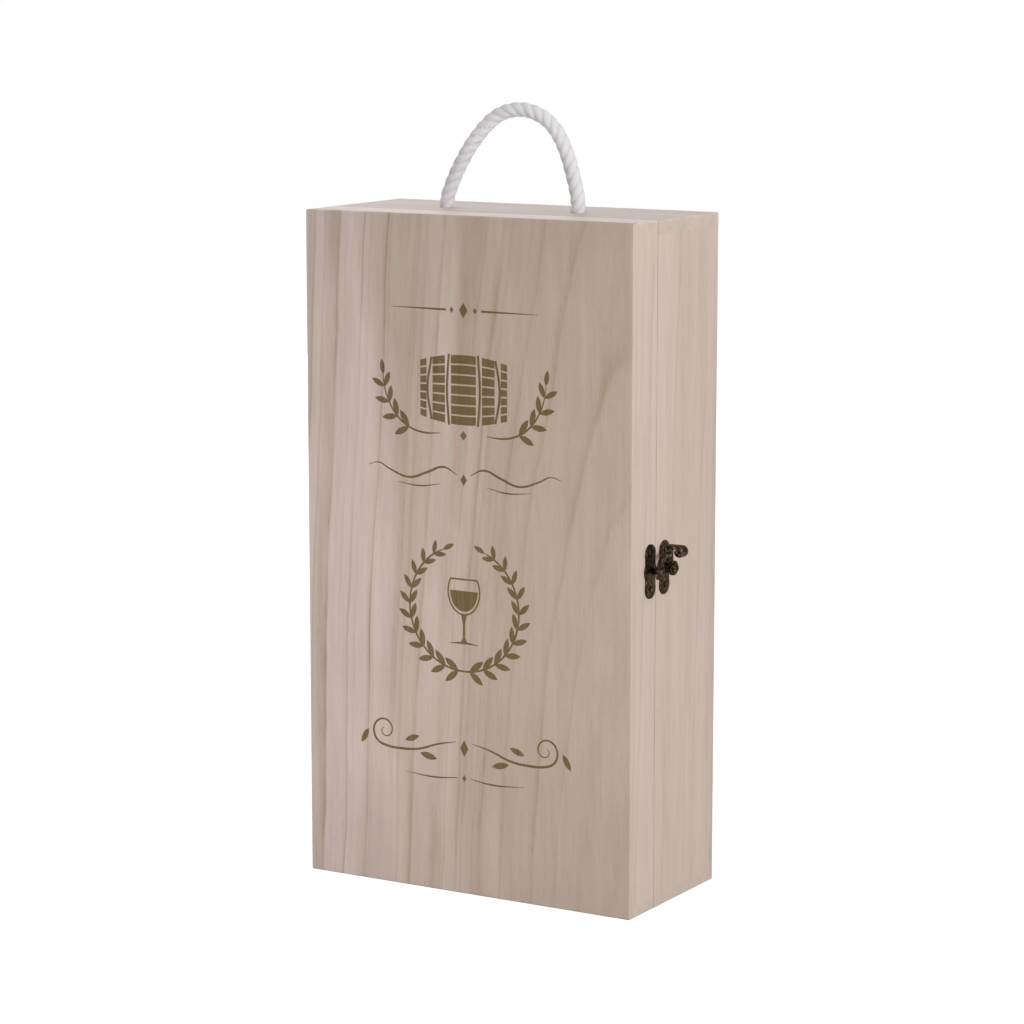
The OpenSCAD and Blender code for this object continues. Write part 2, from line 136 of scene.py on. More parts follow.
def paulownia(
    name,
    pith,
    lean=(0.0, 0.0),
    ring_mm=16.0,
    lines=0.6,
    grounds=("#d5bfb6", "#c9b5a3"),
    drift_x=0.0,
    along_x=False,
    edge=None,
    inner_lines=0.4,
    patches=0.0,
    ink=None,
):
    """Paulownia, planed and unfinished: pale, dull and soft, with wide rings, long fibres and open pores.
    The pattern is a solid log about the pith, so faces and end grain of a board belong together."""
    material, tree = new_material(name)
    place = add(tree, "TexCoord").outputs["Object"]
    split = add(tree, "SeparateXYZ", {0: place})
    across = split.outputs["X"]
    if along_x:
        # the fibres of an end board run across the box
        place = add(
            tree,
            "CombineXYZ",
            {0: split.outputs["Z"], 1: split.outputs["Y"], 2: split.outputs["X"]},
        ).outputs[0]
    # slow waves of a few millimetres, drawn out along the fibres
    wave_at = add(
        tree, "VectorMath", {0: place, 1: (17, 17, 5.5)}, operation="MULTIPLY"
    ).outputs[0]
    wave = add(tree, "TexNoise", {"Vector": wave_at, "Scale": 1.0, "Detail": 3.0, "Roughness": 0.5})
    shift = add(
        tree, "VectorMath", {0: wave.outputs["Color"], 1: (0.5, 0.5, 0.5)}, operation="SUBTRACT"
    ).outputs[0]
    shift = add(
        tree, "VectorMath", {0: shift, 1: (0.012, 0.012, 0.0)}, operation="MULTIPLY"
    ).outputs[0]
    waved = add(tree, "VectorMath", {0: place, 1: shift}, operation="ADD").outputs[0]
    # noise for each use, by how often it changes in a metre across and along the fibres
    noise = {}
    for use, where, often, detail in (
        # where a line shows more or less along its length
        ("line", waved, (70, 70, 11), 3.0),
        # soft streaks about 4 mm wide
        ("streak", waved, (240, 240, 14), 3.0),
        # fibres of about 0.8 mm, which is as fine as shows
        ("fibre", waved, (1250, 1250, 60), 2.0),
        # open pores: dashes about 0.4 mm wide and 6 mm long
        ("pore", waved, (2300, 2300, 150), 1.0),
        # broad drifts in colour, about 25 mm wide and 250 mm long
        ("drift", place, (40, 40, 4), 3.0),
        # uneven blotches, about 15 mm wide and 45 mm long
        ("blotch", place, (70, 70, 22), 4.0),
    ):
        at = add(tree, "VectorMath", {0: where, 1: often}, operation="MULTIPLY").outputs[0]
        made = add(tree, "TexNoise", {"Vector": at, "Scale": 1.0, "Detail": detail})
        noise[use] = made.outputs["Fac"]
    # distance from the leaning pith, in rings
    split = add(tree, "SeparateXYZ", {0: waved})
    high = split.outputs["Z"]
    pith_x = add(tree, "Math", {0: high, 1: lean[0], 2: pith[0]}, operation="MULTIPLY_ADD").outputs[0]
    pith_y = add(tree, "Math", {0: high, 1: lean[1], 2: pith[1]}, operation="MULTIPLY_ADD").outputs[0]
    off_x = add(tree, "Math", {0: split.outputs["X"], 1: pith_x}, operation="SUBTRACT").outputs[0]
    off_y = add(tree, "Math", {0: split.outputs["Y"], 1: pith_y}, operation="SUBTRACT").outputs[0]
    off = add(tree, "CombineXYZ", {0: off_x, 1: off_y}).outputs[0]
    far = add(tree, "VectorMath", {0: off}, operation="LENGTH").outputs["Value"]
    # good and bad years make rings wider and narrower
    years = add(
        tree, "TexNoise", {"W": far, "Scale": 60.0, "Detail": 1.0}, noise_dimensions="1D"
    ).outputs["Fac"]
    rings = add(
        tree, "Math", {0: far, 1: 1 / (ring_mm * MM), 2: years}, operation="MULTIPLY_ADD"
    ).outputs[0]
    phase = add(tree, "Math", {0: rings}, operation="FRACT").outputs[0]
    year = add(tree, "Math", {0: rings}, operation="FLOOR").outputs[0]
    line = add(tree, "ValToRGB", {0: phase}, stops=RING_STOPS).outputs["Color"]
    # some years leave a strong line and others a faint one
    chance = add(tree, "TexWhiteNoise", {"W": year}, noise_dimensions="1D")
    strength = add(tree, "MapRange", {0: chance.outputs["Value"], 3: 0.3, 4: 1.0}).outputs[0]
    line = add(tree, "Math", {0: line, 1: strength}, operation="MULTIPLY").outputs[0]
    # the wide rings close to the pith show less
    young = add(tree, "MapRange", {0: far, 1: 0.045, 2: 0.11, 3: 0.3, 4: 1.0}).outputs[0]
    line = add(tree, "Math", {0: line, 1: young}, operation="MULTIPLY").outputs[0]
    # fainter lines inside a ring, about 2 to 4 mm apart
    inner = add(
        tree, "TexNoise", {"W": far, "Scale": 330.0, "Detail": 1.0}, noise_dimensions="1D"
    ).outputs["Fac"]
    inner = add(tree, "Math", {0: inner, 1: young}, operation="MULTIPLY").outputs[0]
    inner = add(tree, "MapRange", {0: inner, 1: 0.52, 2: 0.8, 4: inner_lines}).outputs[0]
    line = add(tree, "Math", {0: line, 1: inner}, operation="MAXIMUM").outputs[0]
    # each line comes and goes along its length
    comes = add(tree, "MapRange", {0: noise["line"], 1: 0.34, 2: 0.66, 3: 0.3, 4: 1.0}).outputs[0]
    line = add(tree, "Math", {0: line, 1: comes}, operation="MULTIPLY").outputs[0]
    # most pores are in the lines
    pore = add(tree, "MapRange", {0: noise["pore"], 1: 0.6, 2: 0.72}).outputs[0]
    pore_share = add(tree, "MapRange", {0: line, 3: 0.3, 4: 1.0}).outputs[0]
    pore = add(tree, "Math", {0: pore, 1: pore_share}, operation="MULTIPLY").outputs[0]
    # the ground drifts between a pinkish grey and a warmer tan, on some boards also from left to right
    drift = noise["drift"]
    if patches:
        drift = add(
            tree, "Math", {0: noise["blotch"], 1: patches, 2: drift}, operation="MULTIPLY_ADD"
        ).outputs[0]
    from_left = add(tree, "Math", {0: across, 1: 0.035}, operation="ADD").outputs[0]
    drift = add(tree, "Math", {0: from_left, 1: drift_x, 2: drift}, operation="MULTIPLY_ADD").outputs[0]
    drift = add(
        tree, "MapRange", {0: drift, 1: 0.28 + patches / 2, 2: 0.72 + patches / 2}
    ).outputs[0]
    ground = add(
        tree,
        "Mix",
        {0: drift, 6: linear(grounds[0]), 7: linear(grounds[1])},
        data_type="RGBA",
    ).outputs[2]
    hue = add(tree, "SeparateXYZ", {0: chance.outputs["Color"]}).outputs["Y"]
    line_colour = add(
        tree,
        "Mix",
        {0: hue, 6: linear(LINE_BROWNS[0]), 7: linear(LINE_BROWNS[1])},
        data_type="RGBA",
    ).outputs[2]
    line_share = add(tree, "Math", {0: line, 1: lines}, operation="MULTIPLY").outputs[0]
    colour = add(
        tree, "Mix", {0: line_share, 6: ground, 7: line_colour}, data_type="RGBA"
    ).outputs[2]
    if edge:
        # sawn edges that face left or right are plainer than the planed face
        normal = add(tree, "NewGeometry").outputs["True Normal"]
        facing = add(tree, "SeparateXYZ", {0: normal}).outputs["X"]
        facing = add(tree, "Math", {0: facing}, operation="ABSOLUTE").outputs[0]
        facing = add(tree, "MapRange", {0: facing, 1: 0.75, 2: 0.85, 4: 0.8}).outputs[0]
        colour = add(
            tree, "Mix", {0: facing, 6: colour, 7: linear(edge)}, data_type="RGBA"
        ).outputs[2]
    # streaks, fibres, blotches and pores each lighten or darken the colour a little
    tones = [
        add(tree, "MapRange", {0: noise["streak"], 1: 0.3, 2: 0.7, 3: 0.955, 4: 1.03}).outputs[0],
        add(tree, "MapRange", {0: noise["fibre"], 1: 0.3, 2: 0.7, 3: 0.97, 4: 1.025}).outputs[0],
        add(tree, "MapRange", {0: noise["blotch"], 1: 0.3, 2: 0.7, 3: 0.955, 4: 1.035}).outputs[0],
        add(tree, "MapRange", {0: pore, 3: 1.0, 4: 0.76}).outputs[0],
    ]
    shade = tones[0]
    for tone in tones[1:]:
        shade = add(tree, "Math", {0: shade, 1: tone}, operation="MULTIPLY").outputs[0]
    colour = add(
        tree, "VectorMath", {0: colour, "Scale": shade}, operation="SCALE"
    ).outputs[0]
    if ink:
        # screen ink sinks in unevenly, so the fibres show through it
        cover = add(tree, "MapRange", {0: noise["fibre"], 1: 0.3, 2: 0.7, 3: 0.98, 4: 0.86}).outputs[0]
        colour = add(
            tree, "Mix", {0: cover, 6: colour, 7: linear(ink)}, data_type="RGBA"
        ).outputs[2]
    # fibres stand a little proud and pores are open
    relief = add(tree, "Math", {0: pore, 1: -0.8, 2: noise["fibre"]}, operation="MULTIPLY_ADD").outputs[0]
    bump = add(tree, "Bump", {"Strength": 0.3, "Distance": 0.1 * MM, "Height": relief}).outputs[0]
    dull = add(tree, "MapRange", {0: noise["streak"], 3: 0.6, 4: 0.76}).outputs[0]
    shader = add(
        tree,
        "BsdfPrincipled",
        {
            "Base Color": colour,
            "Roughness": dull,
            "IOR": 1.45,
            "Specular IOR Level": 0.3,
            "Normal": bump,
        },
    )
    add(tree, "OutputMaterial", {0: shader.outputs[0]})
    return material


def antique_bronze():
    """Antique bronze plate on stamped steel: dark brown, with random lighter grey-brown blotches that are
    partly the dip's own uneven tone and partly painted highlight standing in for glints.
    """
    material, tree = new_material("antique_bronze_plating")
    place = add(tree, "TexCoord").outputs["Object"]
    # blotches of the dip, about 1.6 mm across, whose lightest parts are partly painted highlight
    blotch = add(
        tree, "TexNoise", {"Vector": place, "Scale": 620.0, "Detail": 3.0, "Roughness": 0.55}
    ).outputs["Fac"]
    # pits of the stamped sheet, about 0.3 mm, as fine as shows
    pit = add(tree, "TexNoise", {"Vector": place, "Scale": 3000.0, "Detail": 2.0}).outputs["Fac"]
    # the dark stops are the dip's own tone, and the lightest stops are partly painted highlight standing in
    # for glints
    colour = add(
        tree,
        "ValToRGB",
        {0: blotch},
        stops=[(0.34, "#17120f"), (0.5, "#30271f"), (0.62, "#574a3f"), (0.74, "#8f7d6e")],
    ).outputs["Color"]
    rough = add(tree, "MapRange", {0: blotch, 1: 0.3, 2: 0.7, 3: 0.28, 4: 0.55}).outputs[0]
    bump = add(tree, "Bump", {"Strength": 0.3, "Distance": 0.06 * MM, "Height": pit}).outputs[0]
    shader = add(
        tree,
        "BsdfPrincipled",
        {
            "Base Color": colour,
            "Metallic": 1.0,
            "Roughness": rough,
            "Specular Tint": linear("#dcd2c8"),
            "Normal": bump,
        },
    )
    add(tree, "OutputMaterial", {0: shader.outputs[0]})
    return material


def bright_steel():
    """Drawn steel wire: bright grey, with fine marks along it from the die."""
    material, tree = new_material("drawn_steel_wire")
    place = add(tree, "TexCoord").outputs["Object"]
    # marks about 0.1 mm wide and 2.5 mm long
    mark_at = add(
        tree, "VectorMath", {0: place, 1: (9000, 9000, 400)}, operation="MULTIPLY"
    ).outputs[0]
    mark = add(tree, "TexNoise", {"Vector": mark_at, "Scale": 1.0, "Detail": 2.0}).outputs["Fac"]
    colour = add(tree, "ValToRGB", {0: mark}, stops=[(0.3, "#77756f"), (0.7, "#a9a7a2")]).outputs[0]
    rough = add(tree, "MapRange", {0: mark, 3: 0.3, 4: 0.5}).outputs[0]
    shader = add(
        tree, "BsdfPrincipled", {"Base Color": colour, "Metallic": 1.0, "Roughness": rough}
    )
    add(tree, "OutputMaterial", {0: shader.outputs[0]})
    return material


def white_rope():
    """Three-strand white cotton rope: soft yarns that catch the light on top, with painted shade greying the
    grooves between the strands.
    """
    material, tree = new_material("white_cotton_rope")
    turn = add(tree, "UVMap", uv_map="lay").outputs[0]
    # the map is in millimetres: along the rope, and round it
    yarn_at = add(tree, "Mapping", {0: turn, "Rotation": (0, 0, math.radians(24))}).outputs[0]
    # yarns about 0.9 mm apart
    yarn = add(
        tree,
        "TexWave",
        {"Vector": yarn_at, "Scale": 0.35, "Distortion": 1.2, "Detail": 2.0, "Detail Scale": 1.5},
        bands_direction="Y",
    ).outputs["Fac"]
    # loose fibres, in tufts of about 0.4 mm
    fuzz = add(
        tree, "TexNoise", {"Vector": turn, "Scale": 2.4, "Detail": 3.0, "Roughness": 0.65}
    ).outputs["Fac"]
    groove = add(tree, "Attribute", attribute_name="groove").outputs["Fac"]
    soft = add(tree, "Math", {0: yarn, 1: 0.35, 2: fuzz}, operation="MULTIPLY_ADD").outputs[0]
    colour = add(
        tree, "ValToRGB", {0: soft}, stops=[(0.35, "#d2cfd2"), (0.6, "#dcdadc"), (0.9, "#e6e5e8")]
    ).outputs["Color"]
    # painted shade: the colour is darkened towards grey deep in the grooves between the strands, standing in
    # for the shade that falls there
    deep = add(tree, "MapRange", {0: groove, 1: 0.5, 2: 1.0, 3: 0.0, 4: 0.3}).outputs[0]
    colour = add(
        tree, "Mix", {0: deep, 6: colour, 7: linear("#aeaaae")}, data_type="RGBA"
    ).outputs[2]
    bump = add(tree, "Bump", {"Strength": 0.5, "Distance": 0.25 * MM, "Height": soft}).outputs[0]
    shader = add(
        tree,
        "BsdfPrincipled",
        {
            "Base Color": colour,
            "Roughness": 0.88,
            "Sheen Weight": 0.25,
            "Sheen Roughness": 0.5,
            "Specular IOR Level": 0.3,
            "Normal": bump,
        },
    )
    add(tree, "OutputMaterial", {0: shader.outputs[0]})
    return material


# The front board's pith lies past its right edge and sinks away upwards, which leans its rings
front_log = dict(
    pith=(0.11, -0.018),
    lean=(0.0, 0.16),
    ring_mm=14.0,
    lines=1.0,
    grounds=("#cebbb3", "#b3a193"),
    drift_x=4.0,
    edge="#d6c3b7",
)
front_wood = paulownia("paulownia_front_board", **front_log)
front_ink = paulownia("olive_ink_on_paulownia", ink="#5e4b22", **front_log)
# The sides are plain boards with faint lines and an uneven tone
side_log = dict(ring_mm=13.0, lines=0.3, inner_lines=0.15)
side_wood = paulownia(
    "paulownia_side_boards",
    pith=(0.2, 0.21),
    lean=(0.0, 0.04),
    grounds=("#d5c1b7", "#cab7a4"),
    patches=0.55,
    **side_log,
)
lid_side_wood = paulownia(
    "paulownia_lid_sides",
    pith=(0.22, 0.17),
    lean=(0.0, 0.05),
    grounds=("#dac5bd", "#d1bfb1"),
    patches=0.45,
    **side_log,
)
# The ends of the lid are a lighter board than the ends of the base
end_log = dict(
    pith=(0.43, 0.06),
    lean=(0.0, 0.03),
    ring_mm=14.0,
    lines=0.35,
    along_x=True,
    edge="#d0bdaf",
)
lid_end_wood = paulownia("paulownia_lid_ends", grounds=("#dfd1cb", "#d2c4bd"), **end_log)
base_end_wood = paulownia("paulownia_base_ends", grounds=("#cabdb6", "#beb0aa"), **end_log)
back_wood = paulownia("paulownia_back_board", pith=(-0.06, 0.12), lean=(0.03, -0.12), ring_mm=15.0)
inner_wood = paulownia(
    "paulownia_inner_boards", pith=(0.03, 0.19), lean=(0.03, 0.0), ring_mm=12.0, lines=0.4
)
bronze = antique_bronze()
steel = bright_steel()
cotton = white_rope()


# ---- Modelling helpers ----

SMOOTH_BELOW = math.radians(40)


def deselect():
    if bpy.context.mode != "OBJECT":
        bpy.ops.object.mode_set(mode="OBJECT")
    bpy.ops.object.select_all(action="DESELECT")


def only(piece):
    """Selects one piece and nothing else."""
    deselect()
    piece.select_set(True)
    bpy.context.view_layer.objects.active = piece


def settle(piece):
    """Puts a piece's place, turn and size into its mesh."""
    only(piece)
    bpy.ops.object.transform_apply(location=True, rotation=True, scale=True)


def apply_all(piece):
    """Applies a piece's modifiers."""
    only(piece)
    for modifier in list(piece.modifiers):
        bpy.ops.object.modifier_apply(modifier=modifier.name)


def joined(pieces):
    """Joins pieces into the first of them."""
    deselect()
    for piece in pieces:
        piece.select_set(True)
    bpy.context.view_layer.objects.active = pieces[0]
    bpy.ops.object.join()
    return pieces[0]


def edit_all(piece):
    """Opens a piece in edit mode, with all of it selected."""
    only(piece)
    bpy.ops.object.mode_set(mode="EDIT")
    bpy.ops.mesh.select_all(action="SELECT")


def choose(piece, kind, wanted):
    """In edit mode, selects the items of a kind for which wanted(item) is true, and says how many."""
    bpy.ops.mesh.select_mode(type=kind)
    bpy.ops.mesh.select_all(action="DESELECT")
    mesh = bmesh.from_edit_mesh(piece.data)
    items = {"VERT": mesh.verts, "EDGE": mesh.edges, "FACE": mesh.faces}[kind]
    chosen = [item for item in items if wanted(item)]
    for item in chosen:
        item.select_set(True)
    mesh.select_flush_mode()
    bmesh.update_edit_mesh(piece.data)
    return len(chosen)


def block(low, high):
    """A solid block between two corners."""
    deselect()
    bpy.ops.mesh.primitive_cube_add(size=1, location=[(a + b) / 2 for a, b in zip(low, high)])
    solid = bpy.context.object
    solid.scale = [b - a for a, b in zip(low, high)]
    settle(solid)
    return solid


def rod(x, y, low_z, high_z, radius):
    """A solid upright rod."""
    deselect()
    bpy.ops.mesh.primitive_cylinder_add(
        vertices=40, radius=radius, depth=high_z - low_z, location=(x, y, (low_z + high_z) / 2)
    )
    solid = bpy.context.object
    settle(solid)
    return solid


def cut_with(piece, solids):
    """Cuts solids out of a piece, and removes them."""
    for solid in solids:
        cut = piece.modifiers.new("cut", "BOOLEAN")
        cut.object = solid
        cut.solver = "EXACT"
    apply_all(piece)
    edit_all(piece)
    bpy.ops.mesh.dissolve_degenerate(threshold=0.001 * MM)
    bpy.ops.object.mode_set(mode="OBJECT")
    for solid in solids:
        bpy.data.objects.remove(solid)


def finish_piece(piece, name, body, material, slot, *nodes):
    """Names a piece, gives it its material, and says what it rides on and which nodes it stands for."""
    piece.name = name
    piece.data.name = name
    piece.data.materials.clear()
    piece.data.materials.append(material)
    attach(piece, body)
    if nodes:
        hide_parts(*nodes)


# ---- Rope handle ----

ROPE_Y = 4 * MM
# The loop's route in x and z above its foot, in millimetres, as in the model
LOOP_FOOT_Z = 359.2 * MM
LOOP = [
    (-41.2, 0), (-40, 4), (-38.3, 8.2), (-36.1, 13), (-33.5, 17.8), (-30.4, 22.8), (-27, 28),
    (-23, 33), (-18.6, 37.8), (-13.7, 42.2), (-7.9, 45.6), (-1.5, 47.4), (5, 47.8), (11.3, 46.6),
    (16.9, 44.2), (21.6, 40.8), (25.4, 36.6), (28.3, 31.9), (30.6, 27), (32.5, 22), (34.1, 17),
    (35.5, 12.2), (36.6, 8), (37.4, 4), (37.8, 0),
]
LEFT_X, RIGHT_X = LOOP[0][0] * MM, LOOP[-1][0] * MM
# Below its foot the rope goes straight down through the top, into a knot
ROPE_ROUTE = (
    [(LEFT_X, z * MM) for z in (341, 346, 352)]
    + [(x * MM, LOOP_FOOT_Z + z * MM) for x, z in LOOP]
    + [(RIGHT_X, z * MM) for z in (352, 346, 341)]
)
# The strands go round once in this length
LAY = 17.5 * MM
# How far the middle of a strand is from the middle of the rope, and the strand's radius
STRAND_OFF, STRAND_R = 0.85 * MM, 3.02 * MM
# The rope's mean radius in millimetres, for the yarns
MEAN_R_MM = 3.7


def smooth_route(points, step):
    """Points at an even step along a smooth curve through the given ones, and the curve's length."""
    parts = 12
    fine = []
    for i in range(len(points) - 1):
        before = points[max(i - 1, 0)]
        after = points[min(i + 2, len(points) - 1)]
        for k in range(parts):
            t = k / parts
            fine.append(
                tuple(
                    0.5
                    * (
                        2 * p
                        + (q - o) * t
                        + (2 * o - 5 * p + 4 * q - r) * t * t
                        + (3 * p - o - 3 * q + r) * t * t * t
                    )
                    for o, p, q, r in zip(before, points[i], points[i + 1], after)
                )
            )
    fine.append(tuple(points[-1]))
    runs = [0.0]
    for a, b in zip(fine, fine[1:]):
        runs.append(runs[-1] + math.dist(a, b))
    count = round(runs[-1] / step)
    even, at = [], 0
    for k in range(count + 1):
        goal = runs[-1] * k / count
        while at < len(runs) - 2 and runs[at + 1] < goal:
            at += 1
        share = (goal - runs[at]) / (runs[at + 1] - runs[at])
        even.append(Vector([a + (b - a) * share for a, b in zip(fine[at], fine[at + 1])]))
    return even, runs[-1]


def strand_section(turn, size):
    """Distance of the rope's surface from its middle at an angle, and how deep in a groove that is."""
    third = math.radians(120)
    off = abs((turn + third / 2) % third - third / 2)
    reach, fat = STRAND_OFF * size, STRAND_R * size
    far = reach * math.cos(off) + math.sqrt(fat**2 - (reach * math.sin(off)) ** 2)
    return far, off / (third / 2)


def laid_rope(name, centre, size=1.0, side=Vector((0, 1, 0)), lay=LAY):
    """A rope of three strands laid to the right along a route, as one closed tube of even squares."""
    around = 36
    verts, grooves, map_at = [], [], []
    run = 0.0
    normal = None
    for i, here in enumerate(centre):
        behind = centre[max(i - 1, 0)]
        ahead = centre[min(i + 1, len(centre) - 1)]
        along = (ahead - behind).normalized()
        run += (here - behind).length
        # the section is carried along the route without turning, and the lay then turns it
        if normal is None:
            normal = side.cross(along).normalized()
        else:
            normal = (normal - along * normal.dot(along)).normalized()
        across = along.cross(normal)
        twist = 2 * math.pi * run / lay
        for k in range(around):
            turn = 2 * math.pi * k / around
            far, deep = strand_section(turn, size)
            spin = turn + twist
            verts.append(here + (normal * math.cos(spin) + across * math.sin(spin)) * far)
            grooves.append(deep)
            map_at.append((run / MM, turn * MEAN_R_MM * size))
    faces = []
    last = (len(centre) - 1) * around
    for ring in range(0, last, around):
        for k in range(around):
            n = (k + 1) % around
            faces.append((ring + k, ring + n, ring + around + n, ring + around + k))
    faces.append(tuple(range(around - 1, -1, -1)))
    faces.append(tuple(last + k for k in range(around)))
    mesh = bpy.data.meshes.new(name)
    mesh.from_pydata(verts, [], faces)
    groove = mesh.attributes.new("groove", "FLOAT", "POINT")
    groove.data.foreach_set("value", grooves)
    layer = mesh.uv_layers.new(name="lay")
    for face in mesh.polygons:
        corners = [mesh.loops[i].vertex_index for i in face.loop_indices]
        places = [corner % around for corner in corners]
        # the last square of a ring ends where the ring starts
        is_last = len(corners) == 4 and max(places) - min(places) > 1
        for loop_index, corner, place in zip(face.loop_indices, corners, places):
            u, v = map_at[corner]
            if is_last and place == 0:
                v = 2 * math.pi * MEAN_R_MM * size
            layer.data[loop_index].uv = (u, v)
    rope = bpy.data.objects.new(name, mesh)
    bpy.context.scene.collection.objects.link(rope)
    only(rope)
    bpy.ops.object.shade_smooth()
    return rope


def stopper_knot(name, x):
    """An overhand knot pulled tight under the top, with a short tail."""
    middle_z, rise = 341.5 * MM, 3.2 * MM
    turn_mm = 2.1
    steps = 120
    points = []
    for k in range(steps):
        t = 2 * math.pi * k / steps
        # the three crossings of the knot, round its upright middle
        across = (2 + math.cos(3 * t)) * turn_mm * MM
        points.append(
            Vector(
                (
                    x + across * math.cos(2 * t),
                    ROPE_Y + across * math.sin(2 * t),
                    middle_z + rise * math.sin(3 * t),
                )
            )
        )
    points.append(points[0].copy())
    # pulled tight, the rope is thinner, and its strands go round sooner
    knot = laid_rope(name, points, 0.8, Vector((0, 0, 1)), 13 * MM)
    tail_route, _ = smooth_route(
        [
            (x + 1.5 * MM, ROPE_Y, 341 * MM),
            (x + 2 * MM, ROPE_Y, 336 * MM),
            (x + 1.2 * MM, ROPE_Y - 1 * MM, 331 * MM),
        ],
        0.8 * MM,
    )
    tail = laid_rope(name + "_tail", tail_route, 0.92)
    joined([knot, tail])
    finish_piece(knot, name, "base", cotton, "white_rope", "rope_knots")
    return knot


def make_rope():
    """The loop, which bends where it leaves its holes, and its two knots."""
    route, length = smooth_route([(x, ROPE_Y, z) for x, z in ROPE_ROUTE], 0.7 * MM)
    rope = laid_rope("rope_handle_lay", route)
    rope.data.materials.append(cotton)
    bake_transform(rope)
    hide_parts("rope_loop")
    knots = [
        stopper_knot("left_rope_knot", LEFT_X),
        stopper_knot("right_rope_knot", RIGHT_X),
    ]


make_rope()


# ---- Boards ----

FRONT_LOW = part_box("front_panel")[0]
BACK_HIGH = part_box("back_panel")[1]
TOP_Z = BACK_HIGH[2]
# The joint between lid and base lies between these
LID_BACK_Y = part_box("lid_right_side")[1][1]
BASE_FRONT_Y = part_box("base_right_side")[0][1]
NEAR = 0.02 * MM
BRAD_R = 0.6 * MM
BRAD_HOLE_R = 0.62 * MM
ROPE_HOLE_R = 4.2 * MM
# How deep the holes are cut, and how far a cutter stands out of the wood
BRAD_HOLE_DEEP, ROPE_HOLE_DEEP = 9 * MM, 12 * MM
OVER, ROPE_OVER = 2 * MM, 3 * MM
# The notch for a bottle's neck, and its middle from the back edge of a rest
NECK_R = 16 * MM
NECK_FROM_BACK = 38 * MM


def outer_faces(edge, axes=(0, 1, 2)):
    """In how many outer faces of the closed box an edge lies, of those across the given axes."""
    count = 0
    for axis in axes:
        for corner in (FRONT_LOW, BACK_HIGH):
            if all(abs(v.co[axis] - corner[axis]) < NEAR for v in edge.verts):
                count += 1
    return count


def on_box_edge(edge):
    """True for an edge along which two outer faces of the closed box meet."""
    return outer_faces(edge) >= 2


def on_joint(edge):
    """True for an outer edge beside the joint between lid and base."""
    if any(min(abs(v.co.y - y) for y in (LID_BACK_Y, BASE_FRONT_Y)) > NEAR for v in edge.verts):
        return False
    return outer_faces(edge, (0, 2)) > 0


def is_inner_square(edge):
    """True for a square edge inside the box. In an outer face boards are sanded flush, and stay sharp."""
    is_square = len(edge.link_faces) == 2 and edge.calc_face_angle() > math.radians(80)
    return is_square and outer_faces(edge) == 0


def bevel_where(piece, wanted, width, segments):
    """Bevels the edges for which wanted(edge) is true."""
    only(piece)
    bpy.ops.object.mode_set(mode="EDIT")
    if choose(piece, "EDGE", wanted):
        bpy.ops.mesh.bevel(offset=width, segments=segments, affect="EDGES")
    bpy.ops.object.mode_set(mode="OBJECT")


def board(node, body, material, solids=()):
    """A planed board the size of its node: sanded round on the box's corners, crisp elsewhere."""
    piece = block(*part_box(node))
    bevel_where(piece, on_box_edge, 0.9 * MM, 4)
    bevel_where(piece, on_joint, 0.4 * MM, 2)
    bevel_where(piece, is_inner_square, 0.15 * MM, 1)
    if solids:
        cut_with(piece, solids)
    only(piece)
    bpy.ops.object.shade_smooth_by_angle(angle=SMOOTH_BELOW)
    finish_piece(piece, node + "_board", body, material, "pale_paulownia", node)


def brad_holes(node, low_z, high_z):
    """Cutters for the small holes above sunk brads, from the places of the brads themselves."""
    low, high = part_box(node)
    ys = sorted({round(low[1] + BRAD_R, 6), round(high[1] - BRAD_R, 6)})
    solids = []
    for x in (low[0] + BRAD_R, high[0] - BRAD_R):
        for y in ys:
            solids.append(rod(x, y, low_z, high_z, BRAD_HOLE_R))
    return solids


def make_boards():
    in_top = (TOP_Z - BRAD_HOLE_DEEP, TOP_Z + OVER)
    in_bottom = (-OVER, BRAD_HOLE_DEEP)
    lid_top_holes = brad_holes("lid_brads", *in_top)
    lid_bottom_holes = brad_holes("lid_brads", *in_bottom)
    base_top_holes = brad_holes("base_brads", *in_top)
    base_bottom_holes = brad_holes("base_brads", *in_bottom)
    for x in (LEFT_X, RIGHT_X):
        base_top_holes.append(rod(x, ROPE_Y, TOP_Z - ROPE_HOLE_DEEP, TOP_Z + ROPE_OVER, ROPE_HOLE_R))
    board("front_panel", "lid", front_wood)
    board("lid_left_side", "lid", lid_side_wood)
    board("lid_right_side", "lid", lid_side_wood)
    board("lid_top_end", "lid", lid_end_wood, lid_top_holes)
    board("lid_bottom_end", "lid", lid_end_wood, lid_bottom_holes)
    board("back_panel", "base", back_wood)
    board("base_left_side", "base", side_wood)
    board("base_right_side", "base", side_wood)
    board("base_top_end", "base", base_end_wood, base_top_holes)
    board("base_bottom_end", "base", base_end_wood, base_bottom_holes)
    board("divider", "base", inner_wood)
    for node in ("left_neck_rest", "right_neck_rest"):
        low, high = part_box(node)
        x = (low[0] + high[0]) / 2
        y = high[1] - NECK_FROM_BACK
        low_z, high_z = low[2] - OVER, high[2] + OVER
        # round at the back and open to the front
        notch = [
            rod(x, y, low_z, high_z, NECK_R),
            block((x - NECK_R, low[1] - OVER, low_z), (x + NECK_R, y, high_z)),
        ]
        board(node, "base", inner_wood, notch)


make_boards()


# ---- Print on the front: x from the middle, z from the bottom, all in millimetres ----

INK_Y = FRONT_LOW[1]
# How far the ink stands out of the wood
SKIN = 0.06 * MM
RULE_Z = 307
CASK_Z = 266
SPRIGS_Z = 242.5
GLASS_Z, WREATH_R = 152, 33
BOTTOM_RULE_Z = 62


